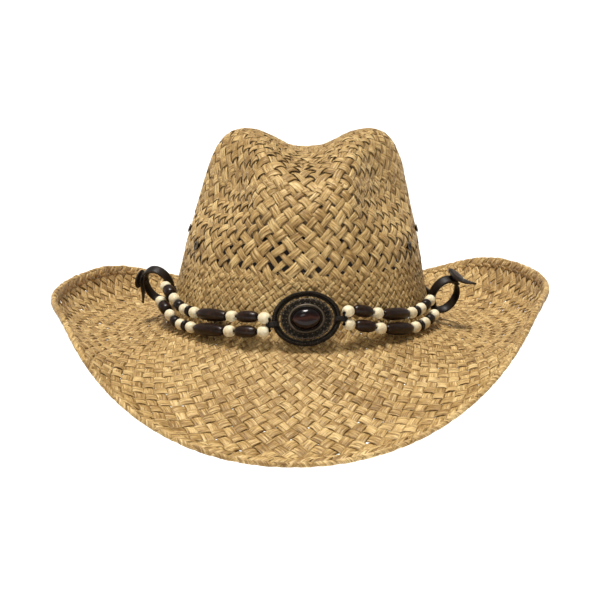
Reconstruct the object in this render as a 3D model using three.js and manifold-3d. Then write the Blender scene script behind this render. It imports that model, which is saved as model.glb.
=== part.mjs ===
// A woven straw cowboy hat with a pinch-front crown, a wired rolled brim and a
// beaded band. Millimetres, +Z up, the wearer's front towards -Y. The origin is
// the centre of the head opening, where the crown meets the brim. Left and right
// are as seen from the front, so left is towards -X.
import * as THREE from "three";
import { mergeVertices } from "three/addons/utils/BufferGeometryUtils.js";
import Module from "manifold-3d";

const wasm = await Module();
wasm.setup();

// ---- Driving dimensions ----

const STRAW_THICKNESS = 2.4;
const GAP = 0.35;

const CROWN = {
  halfWidth: 87,
  halfLength: 103,
  height: 119,
  // The plan shrinks by this share for each millimetre of height.
  taper: 0.0025,
  frontTaper: 0.0022,
  // Exponent of the superellipse that runs over the crown: higher is boxier.
  boxiness: 8,
  // The height at which the wall ends and the turn into the brim starts.
  foot: -1.5,
  frontDrop: 9,
  rearDrop: 8,
  lean: 5,
};
const CREASE = { depth: 16, halfWidth: 26, rearStart: 23, rearEnd: 102 };
// Draws in the front half's sides, so that two ridges frame a flat front. The side
// runs between these shares of the crown's length ahead of the middle, the ridge
// between the next two, and the pinch builds up between two shares of the height.
const PINCH = { share: 0.26, side: [-0.12, 0.45], ridge: [0.72, 0.95], rise: [0.40, 0.72] };
const DENT = { depth: 3, y: -36, z: 88, halfLength: 20, halfHeight: 18 };

const BRIM = {
  // Arc length of the turn from the crown wall into the brim.
  turn: 9,
  wallSlope: -75,
  // Width, slope in degrees after the turn, and the curl added towards the rim.
  side: { width: 97, slope: -23, curl: 105 },
  front: { width: 110, slope: -40, curl: 10 },
  rear: { width: 99, slope: -14, curl: -4 },
  // The squared cosines round the hat between which the ends turn into the sides.
  blend: { from: -0.26, to: 0.86 },
  // Distances from the rim are laid out on a brim of this width.
  typicalWidth: 102,
  // The right rim rides higher than the left one by twice this.
  roll: 4,
};

// The fold's depth, the offsets of its outer and inner faces, how far its nose stands
// past the rim, and where its outer and inner faces round off to meet at the rim.
const BINDING = { depth: 8, outside: 3.1, inside: 2.1, nose: 0.9, bend: 1.2, floor: 1.1, corner: 1.9 };
const WIRE_RADIUS = 0.6;
const WIRE_INSET = 2.6;
const SHEET_INSET = 4;
const SWEATBAND = { low: 0, height: 30, thickness: 1.1, gap: 0.5 };

const EYELET = { barrel: 2.1, bore: 1.5, flange: 3.4, face: 1.95, reach: 2.5 };
// Each side has three: [degrees behind the ear line, height].
const EYELET_PLACES = [[-28, 44], [-6, 51], [16, 44]];

const STRANDS = {
  upper: { height: 10.3, offset: 7, part: 1 },
  lower: { height: 1.5, offset: 9, part: -1 },
  // The first beads stand out this far, and it fades over these degrees.
  proud: 10.2,
  proudSpan: 24,
  // Half the distance between the two strands at the knot, and at their first beads.
  knotHalf: 3.5,
  beadHalf: 4.4,
  // How far each side's strands sag from the concho, over these degrees from the front.
  sag: { left: 4.5, right: 5.5 },
  settled: 45,
  // How far they then climb and stand away to meet the strap's loop.
  lift: { left: 10, right: 4.5 },
  away: { left: 4.5, right: 2 },
  leave: [54, 69],
};
const FIRST_BEAD = 0.5;
const BEAD_GAP = 1.1;
const BEAD_BORE = 1.25;
const CORD_RADIUS = 0.55;
const CORD_TAIL = 2.2;
const BEADS = {
  round: { length: 7.2, radius: 3.75, end: 1.8 },
  barrel: { length: 14.2, radius: 3.95, end: 2.5 },
  long: { length: 24.4, radius: 4.15, end: 2.5 },
  disc: { length: 2.9, radius: 3.7, end: 2.8 },
  stub: { length: 5.8, radius: 3.6, end: 2.8 },
  cask: { length: 8.8, radius: 4.1, end: 2.8 },
};
const FRONT_RUN = ["round", "barrel", "round", "long", "round", "disc", "round", "stub", "round"];
const RUNS = { left: [...FRONT_RUN, "cask", "round"], right: FRONT_RUN };

const CONCHO = {
  halfWidth: 21.3,
  roundness: 0.8,
  bezelRoundness: 0.77,
  x: 4,
  standoff: 7,
  height: 8.5,
  lean: 15,
  roll: 5,
  // The height above the plate's back of the cord loops and the knots.
  middle: 1.3,
  slot: { from: 16.1, to: 18.9, y: -2, height: 6.6 },
  loopRadius: 2.7,
  // Heights of the rim, of the field at the rim and at the bezel, and of the seat.
  rimHeight: 2.6,
  fieldHeight: [1.4, 1.7],
  seatHeight: 1.2,
  bezel: { foot: 11.4, outside: 10.8, inside: 10, seat: 9.6, height: 3.1 },
};
const STONE = { halfWidth: 8.9, roundness: 0.75, height: 4.6 };

const STRAP = { width: 7, thickness: 1.6, height: 3.5, offset: 2 };
// Near its ends the strap swings out to its loops: how far, and over how many degrees.
const STRAP_END = { flare: 25, reach: 3.6 };
const LOOP = { halfWidth: 10.5, halfHeight: 14, width: 6.5, axis: [0.4, -0.75, -0.5] };
// Each loop's middle, the angle of its button, the strap's climb to meet it, and the
// degrees ahead of the ear line at which the strap ends.
const LOOPS = {
  left: { side: -1, x: -95.2, y: -23, z: 14.8, buttonAngle: 0, climb: 1.5, ahead: 12 },
  right: { side: 1, x: 96.6, y: -29, z: 9.2, buttonAngle: 58, climb: -1.5, ahead: 14.5 },
};
const TAIL = { length: 22, width: 7, thickness: 1.4 };
const BUTTON = { radius: 6.5, thickness: 1.8, pin: 1 };

// Facets round the hat.
const AROUND = 48;
// Length of the drills, longer than any wall they pass through.
const DRILL = 14;

// ---- Small helpers ----

const radians = THREE.MathUtils.degToRad;
const mix = THREE.MathUtils.lerp;
const ease = THREE.MathUtils.smoothstep;

function material(colour, roughness, metalness = 0) {
  return new THREE.MeshStandardMaterial({ color: colour, roughness, metalness });
}

const MATERIALS = {
  straw: () => material(0xc09a62, 0.75),
  steel: () => material(0x8b8b88, 0.4, 1),
  cloth: () => material(0x2b221c, 0.9),
  bronze: () => material(0x3a2c20, 0.45, 1),
  stone: () => material(0x4a160c, 0.12),
  leather: () => material(0x1c1512, 0.5),
  cord: () => material(0x120f0e, 0.7),
  bone: () => material(0xe6d2a6, 0.55),
  horn: () => material(0x2c1a14, 0.25),
};

function positionsOnly(geometry) {
  const bare = geometry.index ? geometry.toNonIndexed() : geometry.clone();
  bare.deleteAttribute("normal");
  bare.deleteAttribute("uv");
  return mergeVertices(bare, 1e-4);
}

function solid(geometry) {
  const merged = positionsOnly(geometry);
  return new wasm.Manifold(new wasm.Mesh({
    numProp: 3,
    vertProperties: new Float32Array(merged.attributes.position.array),
    triVerts: new Uint32Array(merged.index.array),
  }));
}

function geometryOf(manifold) {
  const mesh = manifold.getMesh();
  const geometry = new THREE.BufferGeometry();
  geometry.setAttribute("position", new THREE.BufferAttribute(mesh.vertProperties, 3));
  geometry.setIndex(new THREE.BufferAttribute(mesh.triVerts, 1));
  return geometry;
}

// Moves every vertex of a geometry to place(x, y, z).
function wrap(geometry, place) {
  const position = geometry.attributes.position;
  for (let i = 0; i < position.count; i += 1) {
    const point = place(position.getX(i), position.getY(i), position.getZ(i));
    position.setXYZ(i, point.x, point.y, point.z);
  }
  return geometry;
}

// A solid of revolution about +Z from [radius, height] pairs, listed anticlockwise.
function turned(profile, segments) {
  const points = profile.map(([radius, height]) => new THREE.Vector2(radius, height));
  return new THREE.LatheGeometry(points, segments).rotateX(Math.PI / 2);
}

// ---- The hat's surface ----

// The middle of the straw on the crown: path runs from 0 at the tip to 1 at the foot.
function crownPoint(path, angle) {
  const sweep = path * Math.PI / 2;
  const n = CROWN.boxiness;
  const reach = (Math.sin(sweep) ** n + Math.cos(sweep) ** n) ** (-1 / n);
  const across = reach * Math.sin(sweep);
  const up = reach * Math.max(Math.cos(sweep), 0);
  const flatY = CROWN.halfLength * 0.75 * across * Math.sin(angle);
  const drop = CROWN.frontDrop * ease(-flatY, 0, 75) + CROWN.rearDrop * ease(flatY, 0, 75);
  let z = CROWN.foot + (CROWN.height - CROWN.foot - drop) * up;
  const yTaper = Math.sin(angle) < 0 ? CROWN.frontTaper : CROWN.taper;
  let x = CROWN.halfWidth * across * (1 - CROWN.taper * z) * Math.cos(angle);
  const y = CROWN.halfLength * across * (1 - yTaper * z) * Math.sin(angle);
  const ahead = -across * Math.sin(angle);
  const drawn = ease(ahead, ...PINCH.side) * (1 - ease(ahead, ...PINCH.ridge));
  x *= 1 - PINCH.share * drawn * ease(up, ...PINCH.rise);
  const dent = ((y - DENT.y) / DENT.halfLength) ** 2 + ((z - DENT.z) / DENT.halfHeight) ** 2;
  x -= Math.sign(x) * DENT.depth * Math.exp(-dent) * ease(Math.abs(x), 10, 50);
  const crease = Math.exp(-((x / CREASE.halfWidth) ** 2)) * ease(up, 0.55, 0.95);
  z -= CREASE.depth * crease * (1 - ease(y, CREASE.rearStart, CREASE.rearEnd));
  x += CROWN.lean * z / CROWN.height;
  return new THREE.Vector3(x, y, z);
}

// The direction that faces straight out of the oval plan at an angle.
function planNormal(angle) {
  const x = Math.cos(angle) / CROWN.halfWidth;
  const y = Math.sin(angle) / CROWN.halfLength;
  return new THREE.Vector3(x, y, 0).normalize();
}

// The middle of the straw on the brim: path runs from 1 at the foot to 2 at the rim.
function brimPoint(path, angle) {
  const sidewards = Math.cos(angle) ** 2;
  const sideShare = ease(sidewards, BRIM.blend.from, BRIM.blend.to);
  const end = Math.sin(angle) < 0 ? BRIM.front : BRIM.rear;
  const width = mix(end.width, BRIM.side.width, sidewards);
  const slope = mix(end.slope, BRIM.side.slope, sideShare);
  const curl = mix(end.curl, BRIM.side.curl, sideShare);
  const length = (path - 1) * width;
  const steps = 40;
  let reach = 0;
  let rise = 0;
  for (let i = 0; i < steps; i += 1) {
    const along = (i + 0.5) * length / steps;
    const turned = ease(along, 0, BRIM.turn);
    const flat = slope + curl * (along / width) ** 2;
    const heading = radians(mix(BRIM.wallSlope, flat, turned));
    reach += Math.cos(heading) * length / steps;
    rise += Math.sin(heading) * length / steps;
  }
  const point = crownPoint(1, angle).addScaledVector(planNormal(angle), reach);
  point.z += rise + BRIM.roll * (path - 1) ** 2 * Math.cos(angle);
  return point;
}

// The path at a distance in from the rim.
function rimPath(inset) {
  return 2 - inset / BRIM.typicalWidth;
}

function hatPoint(path, angle) {
  return path <= 1 ? crownPoint(path, angle) : brimPoint(path, angle);
}

function hatNormal(path, angle) {
  const step = 1e-3;
  const from = Math.max(path - step, step);
  const along = hatPoint(from + 2 * step, angle).sub(hatPoint(from, angle));
  const middle = from + step;
  const round = hatPoint(middle, angle + step).sub(hatPoint(middle, angle - step));
  return along.cross(round).normalize();
}

function offHat(path, angle, offset) {
  if (path < 1e-6) {
    return new THREE.Vector3(0, 0, offset).add(hatPoint(0, 0));
  }
  return hatPoint(path, angle).addScaledVector(hatNormal(path, angle), offset);
}

// Shapes a flat disc or ring, whose radius is the path and height the offset, to the hat.
function blocked(profile) {
  const flat = turned(profile, AROUND);
  return wrap(flat, (x, y, z) => offHat(Math.hypot(x, y), Math.atan2(y, x), z));
}

// A point beside the crown wall: offset is measured level, out from the straw's middle.
function besideWall(angle, height, offset) {
  const yTaper = Math.sin(angle) < 0 ? CROWN.frontTaper : CROWN.taper;
  const x = CROWN.halfWidth * (1 - CROWN.taper * height) * Math.cos(angle);
  const y = CROWN.halfLength * (1 - yTaper * height) * Math.sin(angle);
  const lean = CROWN.lean * height / CROWN.height;
  return new THREE.Vector3(x + lean, y, height).addScaledVector(planNormal(angle), offset);
}

// The path at which the crown wall passes a height.
function pathAtHeight(height, angle) {
  let above = 0.5;
  let below = 1;
  for (let i = 0; i < 30; i += 1) {
    const middle = (above + below) / 2;
    if (crownPoint(middle, angle).z > height) above = middle;
    else below = middle;
  }
  return below;
}

// ---- Straw, brim edge and sweatband ----

function eyeletAxes() {
  const axes = [];
  for (const [side, mirror] of [["left", -1], ["right", 1]]) {
    EYELET_PLACES.forEach(([behind, height], index) => {
      const fromRight = radians(behind);
      const angle = mirror > 0 ? fromRight : Math.PI - fromRight;
      const path = pathAtHeight(height, angle);
      const normal = hatNormal(path, angle);
      axes.push({ name: `eyelet_${side}_${index + 1}`, at: hatPoint(path, angle), normal });
    });
  }
  return axes;
}

function aimed(geometry, at, direction) {
  const turn = new THREE.Quaternion().setFromUnitVectors(new THREE.Vector3(0, 0, 1), direction);
  return geometry.applyQuaternion(turn).translate(at.x, at.y, at.z);
}

function strawBody() {
  const half = STRAW_THICKNESS / 2;
  const crownPaths = [0.12, 0.24, 0.34, 0.42, 0.48, 0.53, 0.59, 0.64, 0.69, 0.74, 0.79, 0.86, 1];
  const brimPaths = [0.04, 0.08, 0.13, 0.3, 0.5, 0.7, 0.82].map((share) => 1 + share);
  const edgePaths = [BINDING.depth, SHEET_INSET].map(rimPath);
  const paths = [...crownPaths, ...brimPaths, ...edgePaths];
  const under = [0, ...paths].map((path) => [path, -half]);
  const over = [...paths].reverse().map((path) => [path, half]);
  let body = solid(blocked([...under, ...over, [0, half]]));
  const radius = EYELET.barrel + GAP;
  for (const { at, normal } of eyeletAxes()) {
    const drill = new THREE.CylinderGeometry(radius, radius, DRILL, 12).rotateX(Math.PI / 2);
    body = body.subtract(solid(aimed(drill, at, normal)));
  }
  return geometryOf(body);
}

// A folded straw edge with a channel that opens inwards to take the brim and its wire.
function edgeBinding() {
  const at = (inset, offset) => [rimPath(inset), offset];
  const { depth, outside, inside, nose, bend, floor, corner } = BINDING;
  return blocked([
    at(depth, -outside), at(bend, -outside), at(-nose, 0), at(bend, outside),
    at(depth, outside), at(depth, inside), at(corner, inside), at(floor, 0),
    at(corner, -inside), at(depth, -inside), at(depth, -outside),
  ]);
}

function brimWire() {
  const profile = [];
  const sides = 6;
  for (let i = 0; i <= sides; i += 1) {
    const turn = i / sides * 2 * Math.PI;
    const inset = WIRE_INSET - WIRE_RADIUS * Math.cos(turn);
    profile.push([rimPath(inset), WIRE_RADIUS * Math.sin(turn)]);
  }
  return blocked(profile);
}

function sweatband() {
  const outer = -STRAW_THICKNESS / 2 - SWEATBAND.gap;
  const inner = outer - SWEATBAND.thickness;
  const low = SWEATBAND.low;
  const high = low + SWEATBAND.height;
  // It is turned round a circle first, then each point moves to beside the wall.
  const circle = CROWN.halfWidth;
  const corners = [[inner, low], [outer, low], [outer, high], [inner, high], [inner, low]];
  const flat = turned(corners.map(([offset, z]) => [circle + offset, z]), AROUND);
  return wrap(flat, (x, y, z) => besideWall(Math.atan2(y, x), z, Math.hypot(x, y) - circle));
}

// A metal eyelet: a barrel through the straw with a flange on each face.
function eyelet({ at, normal }) {
  const { barrel, bore, flange, face, reach } = EYELET;
  const profile = [
    [bore, -reach], [flange, -reach], [flange, -face], [barrel, -face],
    [barrel, face], [flange, face], [flange - 0.6, reach], [bore, reach], [bore, -reach],
  ];
  return aimed(turned(profile, 8), at, normal);
}

// ---- Bead strands ----

// The run of one strand from the concho's knot round to the ear.
function strandCurve(side, level) {
  const mirror = side === "left" ? -1 : 1;
  const { height, offset, part } = STRANDS[level];
  const { proud, proudSpan, knotHalf, beadHalf, sag, settled, lift, away, leave } = STRANDS;
  const knot = knotPoint(side);
  const radius = CROWN.halfWidth + offset;
  const knotDegrees = THREE.MathUtils.radToDeg(Math.asin(Math.abs(knot.x) / radius));
  const beside = (degrees, z) => {
    const near = mix(proud, offset, ease(degrees, knotDegrees, knotDegrees + proudSpan));
    const out = near + away[side] * ease(degrees, ...leave);
    return besideWall(radians(mirror * degrees - 90), z, out);
  };
  const points = [
    knot.clone().add(new THREE.Vector3(0, 0, part * knotHalf)),
    beside(knotDegrees + 2.8, knot.z + part * beadHalf),
  ];
  for (let degrees = Math.ceil(knotDegrees) + 7; degrees < 90; degrees += 6) {
    const fallen = ease(degrees, knotDegrees, settled);
    const z = mix(knot.z + part * beadHalf, height - sag[side], fallen);
    points.push(beside(degrees, z + lift[side] * ease(degrees, ...leave)));
  }
  return new THREE.CatmullRomCurve3(points);
}

function beadGeometry({ length, radius, end }) {
  const half = length / 2;
  const bulge = mix(end, radius, 0.75);
  return turned([
    [BEAD_BORE, -half], [end, -half], [bulge, -half * 0.68], [radius, 0],
    [bulge, half * 0.68], [end, half], [BEAD_BORE, half], [BEAD_BORE, -half],
  ], 8);
}

// Each bead's kind, centre and direction: both its ends lie on the strand.
function beadPlaces(side, level) {
  const curve = strandCurve(side, level);
  const total = curve.getLength();
  let along = FIRST_BEAD;
  return RUNS[side].map((kind, index) => {
    const { length } = BEADS[kind];
    const start = curve.getPointAt(along / total);
    const finish = curve.getPointAt((along + length) / total);
    along += length + BEAD_GAP;
    const name = `bead_${side}_${level}_${String(index + 1).padStart(2, "0")}_${kind}`;
    const at = start.clone().lerp(finish, 0.5);
    return { name, kind, at, direction: finish.sub(start).normalize() };
  });
}

function tube(points, radius, steps) {
  const section = new THREE.Shape();
  const sides = 6;
  for (let i = 0; i < sides; i += 1) {
    const turn = i / sides * 2 * Math.PI;
    const corner = [radius * Math.cos(turn), radius * Math.sin(turn)];
    if (i === 0) section.moveTo(...corner);
    else section.lineTo(...corner);
  }
  const extrudePath = new THREE.CatmullRomCurve3(points);
  return new THREE.ExtrudeGeometry(section, { steps, bevelEnabled: false, extrudePath });
}

// One side's cord: it loops through the concho's slot and holds both strands.
function beadCord(side) {
  const knot = knotPoint(side);
  let cord = solid(new THREE.IcosahedronGeometry(1.2, 1).translate(knot.x, knot.y, knot.z));
  for (const level of ["upper", "lower"]) {
    const places = beadPlaces(side, level);
    const first = places[0];
    const entry = -BEADS[first.kind].length / 2 - FIRST_BEAD * 0.7;
    const points = [knot, first.at.clone().addScaledVector(first.direction, entry)];
    for (const { kind, at, direction } of places) {
      for (const share of [-0.45, 0, 0.45]) {
        points.push(at.clone().addScaledVector(direction, BEADS[kind].length * share));
      }
    }
    const [before, last] = points.slice(-2);
    const end = last.clone().sub(before).setLength(CORD_TAIL).add(last);
    points.push(end);
    cord = cord.add(solid(tube(points, CORD_RADIUS, 56)));
    cord = cord.add(solid(new THREE.IcosahedronGeometry(1.5, 0).translate(end.x, end.y, end.z)));
  }
  const ring = new THREE.TorusGeometry(CONCHO.loopRadius, CORD_RADIUS, 6, 14);
  const mirror = side === "left" ? -1 : 1;
  ring.rotateX(Math.PI / 2).translate(mirror * loopCentre(), CONCHO.slot.y, CONCHO.middle);
  return geometryOf(cord.add(solid(ring.applyMatrix4(conchoPlace()))));
}

// ---- Concho ----

function loopCentre() {
  return (CONCHO.slot.to + CONCHO.halfWidth) / 2;
}

// Local X runs across the plate, local Y up it and local Z out of its face.
function conchoPlace() {
  const front = besideWall(-Math.PI / 2, CONCHO.height, 0);
  const place = new THREE.Object3D();
  place.position.set(CONCHO.x, front.y - CONCHO.standoff, CONCHO.height);
  place.rotation.order = "XYZ";
  place.rotation.set(radians(90 - CONCHO.lean), 0, radians(CONCHO.roll));
  place.updateMatrix();
  return place.matrix;
}

// The knot where a side's two strands leave the concho.
function knotPoint(side) {
  const mirror = side === "left" ? -1 : 1;
  const reach = mirror * (loopCentre() + CONCHO.loopRadius);
  const knot = new THREE.Vector3(reach, CONCHO.slot.y, CONCHO.middle);
  return knot.applyMatrix4(conchoPlace());
}

function oval(geometry, roundness) {
  return wrap(geometry, (x, y, z) => new THREE.Vector3(x, y * roundness(Math.hypot(x, y)), z));
}

function conchoPlate() {
  const { halfWidth: edge, rimHeight, fieldHeight, seatHeight, bezel } = CONCHO;
  const fieldEdge = edge - 2.6;
  const profile = [
    [0, 0], [edge - 0.8, 0], [edge, rimHeight / 2], [edge - 0.6, rimHeight],
    [edge - 1.6, rimHeight], [fieldEdge, fieldHeight[0]], [bezel.foot, fieldHeight[1]],
    [bezel.outside, bezel.height], [bezel.inside, bezel.height],
    [bezel.seat, seatHeight], [0, seatHeight],
  ];
  const roundness = (radius) => mix(
    CONCHO.bezelRoundness,
    CONCHO.roundness,
    ease(radius, bezel.foot, fieldEdge),
  );
  let plate = solid(oval(turned(profile, 28), roundness));
  const { from, to, y, height } = CONCHO.slot;
  for (const mirror of [-1, 1]) {
    const slot = new THREE.BoxGeometry(to - from, height, 12);
    plate = plate.subtract(solid(slot.translate(mirror * (from + to) / 2, y, 0)));
  }
  return geometryOf(plate).applyMatrix4(conchoPlace());
}

// The domed stone that sits in the plate's bezel.
function cabochon() {
  const { halfWidth, height, roundness } = STONE;
  const profile = [[0, 0], [halfWidth, 0]];
  const rings = 5;
  for (let i = 1; i < rings; i += 1) {
    const turn = i / rings * Math.PI / 2;
    profile.push([halfWidth * Math.cos(turn), 0.6 + (height - 0.6) * Math.sin(turn)]);
  }
  profile.push([0, height]);
  const stone = oval(turned(profile, 16), () => roundness);
  return stone.translate(0, 0, CONCHO.seatHeight + GAP).applyMatrix4(conchoPlace());
}

// ---- Rear strap with its end loops ----

// The frame of a loop: axis through it, out away from the hat, and up across it.
function loopFrame(side) {
  const { side: mirror, x, y, z } = LOOPS[side];
  const axis = new THREE.Vector3(LOOP.axis[0] * mirror, LOOP.axis[1], LOOP.axis[2]).normalize();
  const out = new THREE.Vector3(mirror, 0, 0).projectOnPlane(axis).normalize();
  const up = new THREE.Vector3(0, 0, 1).projectOnPlane(axis);
  up.projectOnPlane(out).normalize();
  return { axis, out, up, centre: new THREE.Vector3(x, y, z) };
}

function placed(geometry, x, y, z, at) {
  const matrix = new THREE.Matrix4().makeBasis(x, y, z).setPosition(at);
  return geometry.applyMatrix4(matrix);
}

// The frame of the button on a loop: across along the loop's axis, out of its face.
function buttonFrame(side) {
  const { axis, out, up, centre } = loopFrame(side);
  const turn = radians(LOOPS[side].buttonAngle);
  const radial = out.clone().multiplyScalar(Math.cos(turn) / LOOP.halfWidth);
  radial.addScaledVector(up, Math.sin(turn) / LOOP.halfHeight).normalize();
  const at = centre.clone().addScaledVector(out, LOOP.halfWidth * Math.cos(turn));
  at.addScaledVector(up, LOOP.halfHeight * Math.sin(turn));
  const across = axis.clone();
  const along = radial.clone().cross(across).normalize();
  if (along.z > 0) {
    along.negate();
    across.negate();
  }
  return { at, radial, across, along };
}

function pinHole(side) {
  const { at, radial } = buttonFrame(side);
  const radius = BUTTON.pin + GAP;
  const drill = new THREE.CylinderGeometry(radius, radius, DRILL, 10).rotateX(Math.PI / 2);
  return solid(aimed(drill, at, radial));
}

function loopRing(side) {
  const { axis, out, centre } = loopFrame(side);
  const ring = new THREE.Shape();
  const half = STRAP.thickness / 2;
  ring.absellipse(0, 0, LOOP.halfWidth + half, LOOP.halfHeight + half, 0, 2 * Math.PI);
  const hole = new THREE.Path();
  hole.absellipse(0, 0, LOOP.halfWidth - half, LOOP.halfHeight - half, 0, 2 * Math.PI);
  ring.holes.push(hole);
  const options = { depth: LOOP.width, bevelEnabled: false, curveSegments: 11 };
  const geometry = new THREE.ExtrudeGeometry(ring, options).translate(0, 0, -LOOP.width / 2);
  const across = axis.clone().cross(out);
  return placed(geometry, out, across, axis, centre);
}

// The angle round the crown at which the rear strap ends inside a loop's width.
function strapEnd(side) {
  const ahead = radians(LOOPS[side].ahead);
  return side === "right" ? -ahead : ahead + Math.PI;
}

// A point of the rear strap's section: z is up across it and out is away from the crown.
function strapPoint(angle, z, out) {
  let height = STRAP.height;
  let offset = STRAP.offset + STRAP.thickness / 2;
  for (const side of ["left", "right"]) {
    const distance = Math.abs(angle - strapEnd(side));
    const near = 1 - ease(distance, 0, radians(STRAP_END.flare));
    height += LOOPS[side].climb * near;
    offset += STRAP_END.reach * near;
  }
  return besideWall(angle, height + z, offset + out);
}

function rearStrap() {
  const flat = new THREE.BoxGeometry(1, STRAP.thickness, STRAP.width, 26, 1, 1);
  wrap(flat, (x, y, z) => {
    const angle = mix(strapEnd("left"), strapEnd("right"), x + 0.5);
    return strapPoint(angle, z, y);
  });
  let strap = solid(flat);
  for (const side of ["left", "right"]) {
    strap = strap.add(solid(loopRing(side))).subtract(pinHole(side));
  }
  return geometryOf(strap);
}

// A pointed leather tail that turns on the button's pin.
function strapTail(side) {
  const { at, radial, across, along } = buttonFrame(side);
  const half = TAIL.width / 2;
  const outline = new THREE.Shape();
  outline.moveTo(half, 0);
  outline.lineTo(half * 0.8, TAIL.length * 0.45);
  outline.lineTo(0.4, TAIL.length);
  outline.lineTo(-0.4, TAIL.length);
  outline.lineTo(half * -0.8, TAIL.length * 0.45);
  outline.lineTo(-half, 0);
  outline.absarc(0, 0, half, Math.PI, 2 * Math.PI, false);
  const options = { depth: TAIL.thickness, bevelEnabled: false, curveSegments: 6 };
  const geometry = new THREE.ExtrudeGeometry(outline, options);
  geometry.translate(0, 0, STRAP.thickness / 2 + GAP);
  placed(geometry, across, along, radial, at);
  return geometryOf(solid(geometry).subtract(pinHole(side)));
}

// A round cap whose pin runs through the tail and the loop, with a head inside.
function button(side) {
  const { at, radial } = buttonFrame(side);
  const under = STRAP.thickness / 2 + GAP;
  const over = under + TAIL.thickness + GAP;
  const { radius, thickness, pin } = BUTTON;
  const inside = -under - 0.4;
  const profile = [
    [0, inside - 0.8], [2.4, inside - 0.8], [2.4, inside], [pin, inside], [pin, over],
    [radius, over], [radius, over + thickness * 0.5], [radius * 0.75, over + thickness],
    [0, over + thickness],
  ];
  return aimed(turned(profile, 14), at, radial);
}

// ---- Assembly ----

const group = new THREE.Group();

function add(name, geometry, make) {
  const mesh = new THREE.Mesh(geometry, make());
  mesh.name = name;
  group.add(mesh);
}

add("straw_body", strawBody(), MATERIALS.straw);
add("edge_binding", edgeBinding(), MATERIALS.straw);
add("brim_wire", brimWire(), MATERIALS.steel);
add("sweatband", sweatband(), MATERIALS.cloth);
for (const place of eyeletAxes()) {
  add(place.name, eyelet(place), MATERIALS.bronze);
}
add("concho_plate", conchoPlate(), MATERIALS.bronze);
add("concho_stone", cabochon(), MATERIALS.stone);
for (const side of ["left", "right"]) {
  add(`bead_cord_${side}`, beadCord(side), MATERIALS.cord);
  for (const level of ["upper", "lower"]) {
    for (const { name, kind, at, direction } of beadPlaces(side, level)) {
      const colour = kind === "round" ? MATERIALS.bone : MATERIALS.horn;
      add(name, aimed(beadGeometry(BEADS[kind]), at, direction), colour);
    }
  }
}
add("rear_strap", rearStrap(), MATERIALS.leather);
for (const side of ["left", "right"]) {
  add(`strap_tail_${side}`, strapTail(side), MATERIALS.leather);
  add(`strap_button_${side}`, button(side), MATERIALS.leather);
}

export default group;
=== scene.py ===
"""A woven straw cowboy hat with a beaded band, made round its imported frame.

The hat's lengths are in millimetres until a mesh is made. The camera, the lights and
the floor are in metres. +Z is up and the front faces -Y. Left and right are as seen
from the front, so left is towards -X.
"""

import math

import bpy
import numpy as np
from mathutils import Matrix, Vector


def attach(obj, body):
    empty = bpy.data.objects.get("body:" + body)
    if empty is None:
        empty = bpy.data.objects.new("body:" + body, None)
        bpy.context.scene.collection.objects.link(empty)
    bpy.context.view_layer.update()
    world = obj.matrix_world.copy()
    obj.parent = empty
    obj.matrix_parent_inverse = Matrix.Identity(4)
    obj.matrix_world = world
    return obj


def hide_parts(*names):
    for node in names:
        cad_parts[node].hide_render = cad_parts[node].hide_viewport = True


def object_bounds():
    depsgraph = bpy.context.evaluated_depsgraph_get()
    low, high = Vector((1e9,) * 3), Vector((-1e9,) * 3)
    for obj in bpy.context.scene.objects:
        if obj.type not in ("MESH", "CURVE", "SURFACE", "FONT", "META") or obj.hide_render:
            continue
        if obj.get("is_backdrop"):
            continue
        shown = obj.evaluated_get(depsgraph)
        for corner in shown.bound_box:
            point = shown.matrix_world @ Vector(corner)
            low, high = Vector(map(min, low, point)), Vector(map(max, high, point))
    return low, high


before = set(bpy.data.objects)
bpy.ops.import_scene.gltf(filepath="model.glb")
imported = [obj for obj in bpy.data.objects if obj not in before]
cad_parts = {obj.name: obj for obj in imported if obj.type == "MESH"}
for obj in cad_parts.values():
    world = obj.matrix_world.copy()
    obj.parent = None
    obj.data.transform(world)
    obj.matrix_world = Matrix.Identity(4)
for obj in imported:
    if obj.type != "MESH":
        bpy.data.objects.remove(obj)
cad_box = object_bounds()

MM = 0.001
random = np.random.default_rng(11)


# ---- Node trees ----

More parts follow.
